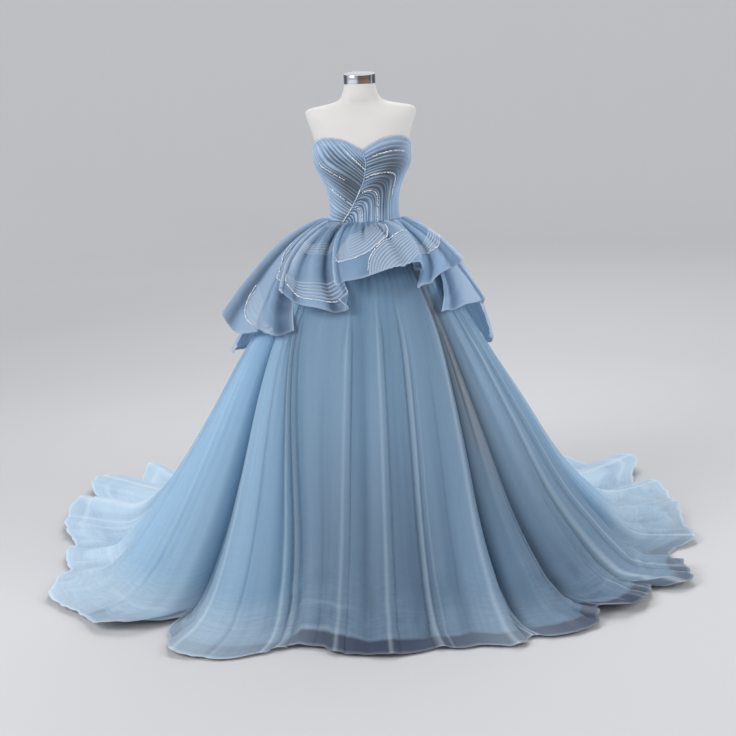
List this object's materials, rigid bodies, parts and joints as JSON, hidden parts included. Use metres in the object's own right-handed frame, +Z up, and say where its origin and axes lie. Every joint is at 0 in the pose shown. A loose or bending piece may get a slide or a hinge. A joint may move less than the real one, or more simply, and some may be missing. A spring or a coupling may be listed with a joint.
{
  "type": "ball gown on dress form",
  "caption": "Strapless ball gown with a pleated sweetheart bodice, flounced peplum and full skirt with a train, worn on a limbless dress form with a round stand.",
  "frame": {"origin": "on the floor, at the centre of the underside of the stand's round base", "axes": "+Z up; the gown faces -Y; +X is to the right of someone who looks at its front"},
  "size_m": [2.1922, 2.1571, 1.5667],
  "materials": {
    "form_cover": "smooth off-white jersey cover",
    "chrome": "polished",
    "stand_paint": "satin white",
    "bodice_tulle": "dusty blue tulle in fine swirled pleats, with silver bead lines",
    "zip_tape": "concealed zip in matching cloth",
    "peplum_organza": "pale blue organza with stitched ribs and silver bead lines",
    "skirt_tulle": "pale blue tulle, sheer at the hem",
    "underskirt_cloth": "matt lining cloth"
  },
  "bodies": {
    "root": {"form_torso": "form_cover", "neck_cap": "chrome", "stand_pole": "stand_paint", "stand_base": "stand_paint", "bodice_front_left": "bodice_tulle", "bodice_front_right": "bodice_tulle", "bodice_back_left": "bodice_tulle", "bodice_back_right": "bodice_tulle", "back_zip": "zip_tape", "peplum_front_centre": "peplum_organza", "peplum_front_left": "peplum_organza", "peplum_left": "peplum_organza", "peplum_right": "peplum_organza", "peplum_right_lower": "peplum_organza", "peplum_back_left": "peplum_organza", "peplum_back_right": "peplum_organza", "skirt_front": "skirt_tulle", "skirt_left": "skirt_tulle", "skirt_right": "skirt_tulle", "train_left": "skirt_tulle", "train_right": "skirt_tulle", "underskirt_front": "underskirt_cloth", "underskirt_back": "underskirt_cloth"}
  },
  "joints": []
}
